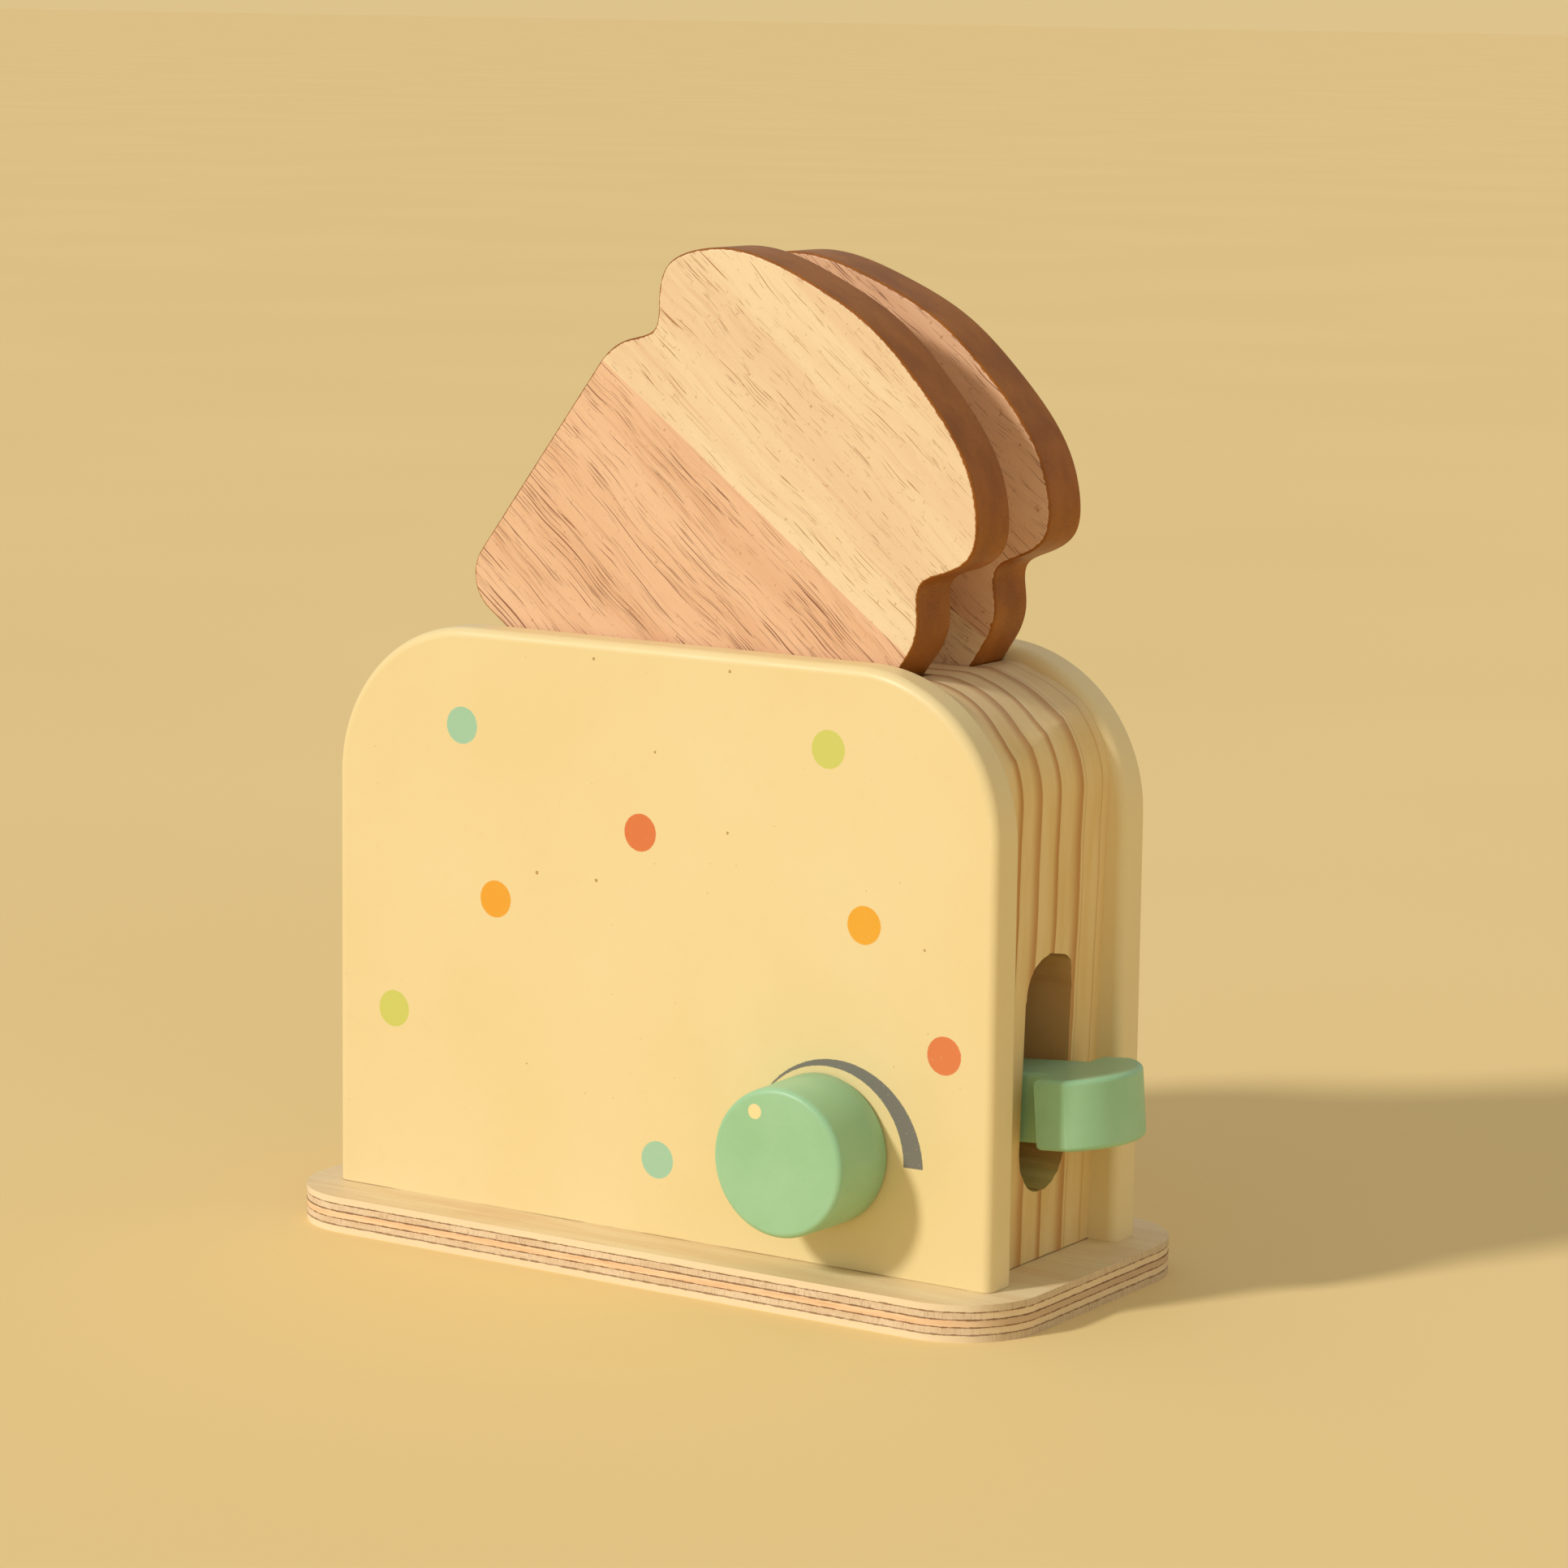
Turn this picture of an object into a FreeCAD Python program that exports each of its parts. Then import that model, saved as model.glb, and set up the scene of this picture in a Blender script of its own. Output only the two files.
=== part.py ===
import FreeCAD
import Part
import math
import os
import Sketcher
from FreeCAD import Placement, Rotation, Vector

# Toy toaster in painted and bare wood
# Frame: origin at the middle of the base's underside, +Z up, front panel faces -Y, lever at +X

doc = FreeCAD.newDocument("ToyToaster")
sheet = doc.addObject("Spreadsheet::Sheet", "Sizes")
X_AXIS = Vector(1, 0, 0)
Y_AXIS = Vector(0, 1, 0)
Z_AXIS = Vector(0, 0, 1)

# Driving dimensions in millimetres and degrees
DIMENSIONS = {
    # base of five glued plies
    "base_length": 211, "base_depth": 100, "base_corner": 21.5, "ply_thick": 1.8, "ply_glue_step": 0.12,
    # end panels and the pine core between them
    "panel_width": 192, "panel_height": 144, "panel_thick": 10.6, "panel_corner": 39.5, "panel_ease": 2.4,
    "core_thick": 48.6, "core_height": 139.8, "core_top_half": 92.2, "core_foot_half": 88.3,
    "core_corner": 27.7,
    # bays for the bread, and the window in the web between them
    "bay_half": 61.8, "bay_floor": 20, "bread_fit": 0.3, "window_left": -42, "window_top": 102,
    # slot for the lever in the right end
    "lever_slot_width": 21.3, "lever_slot_low": 25.9, "lever_slot_high": 83.6,
    # slices of bread
    "bread_thick": 15, "bread_half": 54.7, "bread_foot_round": 10.5, "bread_side": 69.4, "bread_waist": 47.2,
    "bread_waist_level": 86.4, "bread_lobe": 53.4, "bread_lobe_level": 100.4, "bread_shoulder": 39.8,
    "bread_shoulder_level": 116.3, "bread_height": 125.4, "bread_bow": 1, "bread_joint_level": 70.8, "bread_ease": 0.7,
    "front_bread_tilt": 36.5, "front_bread_x": -22.1, "front_bread_z": 130.3,
    "rear_bread_tilt": 33.5, "rear_bread_x": -18.9, "rear_bread_z": 126.6,
    # lift inside the core
    "plate_left": -36, "plate_right": 58, "plate_low": 28, "plate_tall": 34, "plate_thick": 10,
    "rest_dowel_round": 8, "rest_dowel_length": 46, "rest_dowel_level": 34, "rest_dowel_gap": 52,
    "rod_round": 4, "rod_left": -30, "rod_right": 48, "rod_seat": 8, "run_fit": 0.08,
    "grommet_round": 8.4, "grommet_tall": 3, "tongue_reach": 72, "tongue_low": 39.5, "tongue_tall": 12,
    # lever
    "lever_head_x": 96.5, "lever_level": 48.4, "lever_rake": 4.5, "lever_tall": 17, "head_half": 16.5,
    "head_flat": 8.2, "head_reach": 17.4, "neck_half": 9.2, "neck_inner": 64, "lever_ease": 1.3,
    "bridle_fit": 0.05, "pin_round": 4, "pin_x": 68,
    # knob on its axle
    "knob_x": 49.4, "knob_z": 37.5, "knob_half": 18.3, "knob_nose_half": 17.9, "knob_deep": 19.7,
    "knob_round": 1.6, "knob_gap": 0.4, "axle_round": 8, "axle_in_knob": 10, "washer_round": 13,
    "washer_thick": 1, "washer_gap": 0.3, "counterbore_round": 15, "counterbore_deep": 4.3,
    "knob_screw_head": 7, "knob_screw_tall": 2, "knob_screw_round": 3, "knob_screw_length": 9,
    # glued dowels and base screws
    "dowel_round": 8, "dowel_in_panel": 6.5, "dowel_in_core": 13, "dowel_x": 77, "dowel_low": 36, "dowel_high": 112,
    "screw_x": 76, "screw_y": 12, "screw_round": 4, "screw_head": 8, "screw_cone": 3.2, "screw_length": 30,
    "screw_sunk": 0.4,
}
for row, (alias, size) in enumerate(DIMENSIONS.items(), start=1):
    sheet.set("A%d" % row, alias)
    sheet.set("B%d" % row, str(size))
    sheet.setAlias("B%d" % row, alias)

# Sizes worked out from the driving dimensions
DERIVED = {
    "base_thick": "5 * ply_thick",
    "panel_outer": "core_thick / 2 + panel_thick",
    "bay_deep": "bread_thick + 2 * bread_fit",
    "web_half": "core_thick / 2 - bay_deep",
    "core_top": "base_thick + core_height",
    "axle_end": "panel_outer - panel_thick + counterbore_deep - washer_gap",
    "knob_back": "panel_outer + knob_gap",
}
for row, (alias, formula) in enumerate(DERIVED.items(), start=len(DIMENSIONS) + 2):
    sheet.set("A%d" % row, alias)
    sheet.set("B%d" % row, "=" + formula)
    sheet.setAlias("B%d" % row, alias)
doc.recompute()


def size(alias):
    return float(getattr(sheet, alias))


def bind(obj, **formulas):
    """Binds properties to spreadsheet formulas; px, py, pz stand for the placement's coordinates."""
    places = {"px": ".Placement.Base.x", "py": ".Placement.Base.y", "pz": ".Placement.Base.z"}
    for name, formula in formulas.items():
        obj.setExpression(places.get(name, name), formula)
    return obj


def on_sheet(formula):
    """Prefixes each alias in a formula with the sheet's name."""
    words = sorted(list(DIMENSIONS) + list(DERIVED), key=len, reverse=True)
    out = ""
    place = 0
    while place < len(formula):
        match = next((w for w in words if formula.startswith(w, place)), None)
        if match:
            out += "Sizes." + match
            place += len(match)
        else:
            out += formula[place]
            place += 1
    return out


def box(name, x, y, z, length, width, height):
    """Box from its low corner and its extents, all as formulas."""
    obj = doc.addObject("Part::Box", name)
    parts = {"px": x, "py": y, "pz": z, "Length": length, "Width": width, "Height": height}
    return bind(obj, **{key: on_sheet(text) for key, text in parts.items()})


def rod(name, axis, x, y, z, diameter, length):
    """Cylinder that starts at a point and runs along an axis."""
    obj = doc.addObject("Part::Cylinder", name)
    obj.Placement = Placement(Vector(), Rotation(Z_AXIS, axis))
    parts = {"px": x, "py": y, "pz": z, "Radius": "(%s) / 2" % diameter, "Height": length}
    return bind(obj, **{key: on_sheet(text) for key, text in parts.items()})


def cone(name, axis, x, y, z, first, second, length):
    """Cone that starts at a point and runs along an axis, with two diameters."""
    obj = doc.addObject("Part::Cone", name)
    obj.Placement = Placement(Vector(), Rotation(Z_AXIS, axis))
    parts = {
        "px": x, "py": y, "pz": z, "Radius1": "(%s) / 2" % first, "Radius2": "(%s) / 2" % second, "Height": length,
    }
    return bind(obj, **{key: on_sheet(text) for key, text in parts.items()})


def gather(kind, name, shapes):
    """Joins several objects, as Part::MultiFuse, Part::Compound or Part::MultiCommon."""
    obj = doc.addObject(kind, name)
    if kind == "Part::Compound":
        obj.Links = shapes
    else:
        obj.Shapes = shapes
    return obj


def cut(name, base, tools):
    """Takes the tools away from the base."""
    obj = doc.addObject("Part::Cut", name)
    obj.Base = base
    obj.Tool = tools[0] if len(tools) == 1 else gather("Part::MultiFuse", name + "_tools", tools)
    return obj


NODES = []


def node(obj, label):
    """Marks an object as a sub-part under its own name."""
    obj.Label = label
    NODES.append(obj)
    return obj


def plane_of(body, role):
    return next(item for item in body.Origin.OriginFeatures if item.Role == role)


def sketch_in(body, name, role, offset=None):
    """Sketch on one of the body's origin planes, at an offset given as a formula."""
    sketch = body.newObject("Sketcher::SketchObject", name)
    sketch.AttachmentSupport = (plane_of(body, role), [""])
    sketch.MapMode = "FlatFace"
    if offset:
        sketch.setExpression("AttachmentOffset.Base.z", on_sheet(offset))
    return sketch


def outline(sketch, points, rounds):
    """Closed outline of lines through the points, where a point with a radius is rounded by a tangent arc."""
    count = len(points)
    legs = []
    for index in range(count):
        here, before, after = (Vector(*points[i % count], 0) for i in (index, index - 1, index + 1))
        radius = rounds[index]
        into = (before - here).normalize()
        out = (after - here).normalize()
        half = into.getAngle(out) / 2
        back = radius / math.tan(half) if radius else 0
        legs.append((here + into * back, here + out * back, here, radius, half, (into + out).normalize()))
    lines = []
    for index in range(count):
        start = legs[index][1]
        end = legs[(index + 1) % count][0]
        lines.append(sketch.addGeometry(Part.LineSegment(start, end)))
    arcs = {}
    for index, (first, last, corner, radius, half, inward) in enumerate(legs):
        if not radius:
            sketch.addConstraint(Sketcher.Constraint("Coincident", lines[index - 1], 2, lines[index], 1))
            continue
        centre = corner + inward * (radius / math.sin(half))
        middle = centre - inward * radius
        arcs[index] = sketch.addGeometry(Part.Arc(first, middle, last))
        ends = arc_ends(sketch, arcs[index], first)
        sketch.addConstraint(Sketcher.Constraint("Tangent", lines[index - 1], 2, arcs[index], ends[0]))
        sketch.addConstraint(Sketcher.Constraint("Tangent", lines[index], 1, arcs[index], ends[1]))
    return lines, arcs


def arc_ends(sketch, arc, first):
    """Vertex numbers of an arc, the one at the first point before the other."""
    starts = sketch.getPoint(arc, 1).distanceToPoint(first) < 1e-6
    return (1, 2) if starts else (2, 1)


# Plywood base: five plies with crossing grain and rounded corners
PLY_NAMES = ["face_ply_bottom", "cross_ply_lower", "middle_ply", "cross_ply_upper", "face_ply_top"]


def screw_places():
    """Signs of the four base screws."""
    return [(sx, sy) for sx in (-1, 1) for sy in (-1, 1)]


def rounded_plate(name, bottom, inset):
    """Plate with rounded corners from two crossing boxes and four corner posts."""
    length = "base_length - 2 * (%s)" % inset
    depth = "base_depth - 2 * (%s)" % inset
    radius = "(base_corner - (%s))" % inset
    boxes = [
        box(name + "_long", "-(%s) / 2" % length, "-(%s) / 2 + %s" % (depth, radius), bottom,
            length, "%s - 2 * %s" % (depth, radius), "ply_thick"),
        box(name + "_deep", "-(%s) / 2 + %s" % (length, radius), "-(%s) / 2" % depth, bottom,
            "%s - 2 * %s" % (length, radius), depth, "ply_thick"),
    ]
    for number, (sx, sy) in enumerate(screw_places()):
        boxes.append(rod("%s_post%d" % (name, number), Z_AXIS, "%d * ((%s) / 2 - %s)" % (sx, length, radius),
                         "%d * ((%s) / 2 - %s)" % (sy, depth, radius), bottom, "2 * " + radius, "ply_thick"))
    return gather("Part::MultiFuse", name + "_plate", boxes)


for layer, ply_name in enumerate(PLY_NAMES):
    low = "%d * ply_thick" % layer
    inset = "0 * ply_glue_step" if layer % 2 == 0 else "ply_glue_step"
    plate = rounded_plate(ply_name, low, inset)
    drills = []
    for number, (sx, sy) in enumerate(screw_places()):
        at_x = "%d * screw_x" % sx
        at_y = "%d * screw_y" % sy
        drills.append(rod("%s_drill%d" % (ply_name, number), Z_AXIS, at_x, at_y, "-1", "screw_round", "base_thick + 2"))
        drills.append(rod("%s_mouth%d" % (ply_name, number), Z_AXIS, at_x, at_y, "-1", "screw_head",
                          "screw_sunk + 1"))
        drills.append(cone("%s_sink%d" % (ply_name, number), Z_AXIS, at_x, at_y, "screw_sunk", "screw_head",
                           "screw_round", "screw_cone"))
    node(cut("base_" + ply_name, plate, drills), "base_" + ply_name)


# Base screws: four countersunk wood screws that come up through the base into the core
screws = []
for number, (sx, sy) in enumerate(screw_places()):
    at_x = "%d * screw_x" % sx
    at_y = "%d * screw_y" % sy
    shank = rod("screw_shank%d" % number, Z_AXIS, at_x, at_y, "screw_sunk", "screw_round", "screw_length")
    head = cone("screw_head%d" % number, Z_AXIS, at_x, at_y, "screw_sunk", "screw_head", "screw_round", "screw_cone")
    screws.append(gather("Part::MultiFuse", "screw%d" % number, [shank, head]))
node(gather("Part::Compound", "base_screws", screws), "base_screws")


# Front and rear panels: boards with large rounded top corners and eased edges
def dowel_places():
    """Formulas of the four dowels behind each panel."""
    return [("%d * dowel_x" % sx, level) for sx in (-1, 1) for level in ("dowel_low", "dowel_high")]


def panel_body(name, side):
    """Board on the outside of the core; side is -1 for the front and 1 for the rear."""
    body = doc.addObject("PartDesign::Body", name + "_board")
    profile = sketch_in(body, name + "_profile", "XZ_Plane")
    half = size("panel_width") / 2
    foot = size("base_thick")
    head = foot + size("panel_height")
    radius = size("panel_corner")
    points = [(-half, foot), (half, foot), (half, head), (-half, head)]
    lines, arcs = outline(profile, points, [0, 0, radius, radius])
    profile.addConstraint(Sketcher.Constraint("Vertical", lines[1]))
    profile.addConstraint(Sketcher.Constraint("Horizontal", lines[2]))
    profile.addConstraint(Sketcher.Constraint("Vertical", lines[3]))
    profile.addConstraint(Sketcher.Constraint("Symmetric", lines[0], 1, lines[0], 2, -2))
    profile.addConstraint(Sketcher.Constraint("Equal", arcs[2], arcs[3]))
    named = [
        ("wide", Sketcher.Constraint("Distance", lines[0], 2 * half), "panel_width"),
        ("round", Sketcher.Constraint("Radius", arcs[2], radius), "panel_corner"),
        ("foot", Sketcher.Constraint("DistanceY", -1, 1, lines[0], 1, foot), "base_thick"),
        ("head", Sketcher.Constraint("DistanceY", -1, 1, lines[2], 1, head), "base_thick + panel_height"),
    ]
    for label, constraint, formula in named:
        profile.renameConstraint(profile.addConstraint(constraint), label)
        profile.setExpression("Constraints." + label, on_sheet(formula))
    # a sketch on the XZ plane faces -Y, so the offset is measured toward the front
    near = "panel_outer" if side < 0 else "-core_thick / 2"
    profile.setExpression("AttachmentOffset.Base.z", on_sheet(near))
    pad = body.newObject("PartDesign::Pad", name + "_pad")
    pad.Profile = profile
    pad.Reversed = True
    pad.setExpression("Length", on_sheet("panel_thick"))
    doc.recompute()
    outer_y = side * size("panel_outer")
    inner_y = side * size("core_thick") / 2
    rims = []
    for number, edge in enumerate(pad.Shape.Edges, start=1):
        box_of = edge.BoundBox
        flat = box_of.YLength < 1e-6
        low = box_of.ZMax < foot + 1e-6
        if flat and not low and (abs(box_of.YMin - outer_y) < 1e-6 or abs(box_of.YMin - inner_y) < 1e-6):
            rims.append("Edge%d" % number)
    ease = body.newObject("PartDesign::Fillet", name + "_ease")
    ease.Base = (pad, rims)
    ease.setExpression("Radius", on_sheet("panel_ease"))
    body.Tip = ease
    return body


def panel(name, side, extra):
    """Panel with its dowel holes and any further cuts."""
    drills = []
    for number, (at_x, level) in enumerate(dowel_places()):
        start = "-core_thick / 2 - dowel_in_panel" if side < 0 else "core_thick / 2 - 1"
        drills.append(rod("%s_hole%d" % (name, number), Y_AXIS, at_x, start, level, "dowel_round",
                          "dowel_in_panel + 1"))
    return node(cut(name, panel_body(name, side), drills + extra), name)


axle_hole = rod("axle_hole", Y_AXIS, "knob_x", "-panel_outer - 1", "knob_z", "axle_round + 2 * run_fit",
                "panel_thick + 2")
counterbore = rod("counterbore", Y_AXIS, "knob_x", "-core_thick / 2 - counterbore_deep", "knob_z",
                  "counterbore_round", "counterbore_deep + 1")
panel("front_panel", -1, [axle_hole, counterbore])
panel("rear_panel", 1, [])

for name, start in (("front", "-core_thick / 2 - dowel_in_panel"), ("rear", "core_thick / 2 - dowel_in_core")):
    dowels = [rod("%s_dowel%d" % (name, number), Y_AXIS, at_x, start, level, "dowel_round",
                  "dowel_in_panel + dowel_in_core") for number, (at_x, level) in enumerate(dowel_places())]
    node(gather("Part::Compound", name + "_dowels", dowels), name + "_dowels")


# Pine core: tapered ends, rounded top corners, a bread bay in each face and a window in the web between them
def core_profile():
    """Solid block of the core before its bays are cut."""
    body = doc.addObject("PartDesign::Body", "core_blank")
    profile = sketch_in(body, "core_profile", "XZ_Plane", "core_thick / 2")
    foot = size("base_thick")
    head = size("core_top")
    low_half = size("core_foot_half")
    high_half = size("core_top_half")
    radius = size("core_corner")
    points = [(-low_half, foot), (low_half, foot), (high_half, head), (-high_half, head)]
    lines, arcs = outline(profile, points, [0, 0, radius, radius])
    profile.addConstraint(Sketcher.Constraint("Symmetric", lines[0], 1, lines[0], 2, -2))
    profile.addConstraint(Sketcher.Constraint("Symmetric", lines[2], 1, lines[2], 2, -2))
    profile.addConstraint(Sketcher.Constraint("Equal", arcs[2], arcs[3]))
    end_x = profile.getPoint(arcs[2], arc_ends(profile, arcs[2], Vector(*profile.getPoint(lines[1], 2)))[0]).x
    named = [
        ("foot_half", Sketcher.Constraint("DistanceX", -1, 1, lines[0], 2, low_half), "core_foot_half"),
        ("round", Sketcher.Constraint("Radius", arcs[2], radius), "core_corner"),
        ("foot", Sketcher.Constraint("DistanceY", -1, 1, lines[0], 1, foot), "base_thick"),
        ("head", Sketcher.Constraint("DistanceY", -1, 1, lines[2], 1, head), "core_top"),
        ("top_half", Sketcher.Constraint("DistanceX", -1, 1, lines[1], 2, end_x),
         "core_foot_half + (core_top_half - core_foot_half) * (core_height - core_corner) / core_height"),
    ]
    for label, constraint, formula in named:
        profile.renameConstraint(profile.addConstraint(constraint), label)
        profile.setExpression("Constraints." + label, on_sheet(formula))
    pad = body.newObject("PartDesign::Pad", "core_pad")
    pad.Profile = profile
    pad.Reversed = True
    pad.setExpression("Length", on_sheet("core_thick"))
    body.Tip = pad
    return body


bay_cuts = [
    box("front_bay", "-bay_half", "-core_thick / 2 - 1", "bay_floor", "2 * bay_half", "bay_deep + 1", "core_top"),
    box("rear_bay", "-bay_half", "web_half", "bay_floor", "2 * bay_half", "bay_deep + 1", "core_top"),
    box("web_window", "window_left", "-web_half - 1", "bay_floor", "bay_half - window_left", "2 * web_half + 2",
        "window_top - bay_floor"),
]
slot_length = "core_top_half - bay_half + 10"
slot_start = "bay_half - 5"
slot_cuts = [
    box("slot_middle", slot_start, "-lever_slot_width / 2", "lever_slot_low + lever_slot_width / 2", slot_length,
        "lever_slot_width", "lever_slot_high - lever_slot_low - lever_slot_width"),
    rod("slot_foot", X_AXIS, slot_start, "0", "lever_slot_low + lever_slot_width / 2", "lever_slot_width",
        slot_length),
    rod("slot_head", X_AXIS, slot_start, "0", "lever_slot_high - lever_slot_width / 2", "lever_slot_width",
        slot_length),
]
fixing_cuts = []
for number, (sx, sy) in enumerate(screw_places()):
    fixing_cuts.append(rod("core_screw_hole%d" % number, Z_AXIS, "%d * screw_x" % sx, "%d * screw_y" % sy,
                           "screw_sunk", "screw_round", "screw_length"))
for number, (at_x, level) in enumerate(dowel_places()):
    for name, start in (("front", "-core_thick / 2 - 1"), ("rear", "core_thick / 2 - dowel_in_core")):
        fixing_cuts.append(rod("core_%s_hole%d" % (name, number), Y_AXIS, at_x, start, level, "dowel_round",
                               "dowel_in_core + 1"))
for number, rod_x in enumerate(("rod_left", "rod_right")):
    fixing_cuts.append(rod("core_rod_seat%d" % number, Z_AXIS, rod_x, "0", "bay_floor - rod_seat", "rod_round",
                           "window_top - bay_floor + 2 * rod_seat"))
node(cut("core_block", core_profile(), bay_cuts + slot_cuts + fixing_cuts), "core_block")


# Lift inside the core: a plate that slides on two steel rods, with two dowels that carry the bread
def rod_places():
    return [("rod_left", "0"), ("rod_right", "0")]


rods = [rod("guide_rod%d" % number, Z_AXIS, at_x, at_y, "bay_floor - rod_seat", "rod_round",
            "window_top - bay_floor + 2 * rod_seat") for number, (at_x, at_y) in enumerate(rod_places())]
node(gather("Part::Compound", "guide_rods", rods), "guide_rods")

plate_blank = gather("Part::MultiFuse", "plate_blank", [
    box("plate_board", "plate_left", "-plate_thick / 2", "plate_low", "plate_right - plate_left", "plate_thick",
        "plate_tall"),
    box("plate_tongue", "plate_right - 1", "-plate_thick / 2", "tongue_low", "tongue_reach - plate_right + 1",
        "plate_thick", "tongue_tall"),
])
plate_holes = [rod("plate_bore%d" % number, Z_AXIS, at_x, at_y, "plate_low - 1", "rod_round + 2 * run_fit",
                   "plate_tall + 2") for number, (at_x, at_y) in enumerate(rod_places())]
rest_places = ["(rod_left + rod_right) / 2 - rest_dowel_gap / 2", "(rod_left + rod_right) / 2 + rest_dowel_gap / 2"]
plate_holes += [rod("plate_rest_hole%d" % number, Y_AXIS, at_x, "-plate_thick", "rest_dowel_level",
                    "rest_dowel_round", "2 * plate_thick") for number, at_x in enumerate(rest_places)]
pin_level = "tongue_low + tongue_tall / 2"
plate_holes.append(rod("plate_pin_hole", Y_AXIS, "pin_x", "-plate_thick", pin_level, "pin_round",
                       "2 * plate_thick"))
node(cut("lift_plate", plate_blank, plate_holes), "lift_plate")

rests = [rod("rest_dowel%d" % number, Y_AXIS, at_x, "-rest_dowel_length / 2", "rest_dowel_level",
             "rest_dowel_round", "rest_dowel_length") for number, at_x in enumerate(rest_places)]
node(gather("Part::Compound", "toast_rest_dowels", rests), "toast_rest_dowels")

grommets = []
for number, (at_x, at_y) in enumerate(rod_places()):
    ring = rod("grommet_ring%d" % number, Z_AXIS, at_x, at_y, "plate_low + plate_tall", "grommet_round",
               "grommet_tall")
    bore = rod("grommet_bore%d" % number, Z_AXIS, at_x, at_y, "plate_low + plate_tall - 1",
               "rod_round + 2 * run_fit", "grommet_tall + 2")
    grommets.append(cut("grommet%d" % number, ring, [bore]))
node(gather("Part::Compound", "friction_grommets", grommets), "friction_grommets")


# Lever: a sawn head with flat sides and a bowed face, and a neck that forks round the plate's tongue
def lever_solid():
    """Head and neck in one piece, made level and then raked up about the back of the head."""
    half = size("head_half")
    flat = size("head_flat")
    reach = size("head_reach")
    tall = size("lever_tall")
    neck = size("neck_half")
    inner = size("neck_inner") - size("lever_head_x")
    corners = [Vector(0, -half, 0), Vector(flat, -half, 0), Vector(flat, half, 0), Vector(0, half, 0)]
    edges = [
        Part.makeLine(corners[0], corners[1]),
        Part.Arc(corners[1], Vector(reach, 0, 0), corners[2]).toShape(),
        Part.makeLine(corners[2], corners[3]),
        Part.makeLine(corners[3], corners[0]),
    ]
    head = Part.Face(Part.Wire(edges)).extrude(Z_AXIS * tall)
    arm = Part.makeBox(flat - inner, 2 * neck, tall, Vector(inner, -neck, 0))
    blank = head.fuse(arm).removeSplitter()
    ease = size("lever_ease")
    level = [edge for edge in blank.Edges if edge.BoundBox.ZLength < 1e-6 and edge.BoundBox.XMax > inner + 1e-6]
    return blank.makeFillet(ease, level), inner, tall


lever_blank, lever_inner, lever_tall = lever_solid()
lever_blank.Placement = Placement(Vector(0, 0, -lever_tall / 2), Rotation())
raked = lever_blank.copy()
raked.rotate(Vector(), Y_AXIS, -size("lever_rake"))
raked.translate(Vector(size("lever_head_x"), 0, size("lever_level")))
bridle = Part.makeBox(
    size("tongue_reach") + size("bridle_fit") - size("neck_inner") + size("lever_tall"),
    size("plate_thick") + 2 * size("bridle_fit"), 3 * lever_tall,
    Vector(size("neck_inner") - size("lever_tall"), -size("plate_thick") / 2 - size("bridle_fit"),
           size("lever_level") - 2 * lever_tall))
pin_z = size("tongue_low") + size("tongue_tall") / 2
pin_bore = Part.makeCylinder(size("pin_round") / 2, 4 * size("neck_half"),
                             Vector(size("pin_x"), -2 * size("neck_half"), pin_z), Y_AXIS)
lever = doc.addObject("Part::Feature", "lever_handle")
lever.Shape = raked.cut(bridle).cut(pin_bore)
node(lever, "lever_handle")
node(rod("lever_pin", Y_AXIS, "pin_x", "-neck_half", pin_level, "pin_round", "2 * neck_half"), "lever_pin")


# Knob: a turned disc on a glued axle that runs in the front panel, kept by a washer and a screw behind it
def knob_body():
    """Disc with a slight taper and a rounded front rim, turned about its own axis."""
    body = doc.addObject("PartDesign::Body", "knob_turned")
    profile = sketch_in(body, "knob_profile", "XY_Plane")
    back = size("knob_half")
    nose = size("knob_nose_half")
    deep = size("knob_deep")
    bore = size("axle_round") / 2
    hollow = size("axle_in_knob")
    points = [(0, deep), (0, hollow), (bore, hollow), (bore, 0), (back, 0), (nose, deep)]
    lines, arcs = outline(profile, points, [0, 0, 0, 0, 0, size("knob_round")])
    for index in (0, 2):
        profile.addConstraint(Sketcher.Constraint("Vertical", lines[index]))
    for index in (1, 3, 5):
        profile.addConstraint(Sketcher.Constraint("Horizontal", lines[index]))
    named = [
        ("axis", Sketcher.Constraint("DistanceX", -1, 1, lines[0], 1, 0.0), None),
        ("deep", Sketcher.Constraint("DistanceY", -1, 1, lines[0], 1, deep), "knob_deep"),
        ("hollow", Sketcher.Constraint("DistanceY", -1, 1, lines[1], 1, hollow), "axle_in_knob"),
        ("bore", Sketcher.Constraint("DistanceX", -1, 1, lines[2], 1, bore), "axle_round / 2"),
        ("rim", Sketcher.Constraint("DistanceX", -1, 1, lines[3], 2, back), "knob_half"),
        ("floor", Sketcher.Constraint("DistanceY", -1, 1, lines[3], 1, 0.0), None),
        ("round", Sketcher.Constraint("Radius", arcs[5], size("knob_round")), "knob_round"),
        ("slope", Sketcher.Constraint("Angle", lines[4], math.atan2(deep, nose - back)),
         "90deg + atan((knob_half - knob_nose_half) / knob_deep)"),
    ]
    for label, constraint, formula in named:
        profile.renameConstraint(profile.addConstraint(constraint), label)
        if formula:
            profile.setExpression("Constraints." + label, on_sheet(formula))
    turn = body.newObject("PartDesign::Revolution", "knob_turn")
    turn.Profile = profile
    turn.ReferenceAxis = (profile, ["V_Axis"])
    turn.Angle = 360
    body.Tip = turn
    return body


knob = knob_body()
knob.Placement = Placement(Vector(), Rotation(Z_AXIS, 180))
bind(knob, px=on_sheet("knob_x"), py=on_sheet("-knob_back"), pz=on_sheet("knob_z"))
node(knob, "dial_knob")

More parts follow.
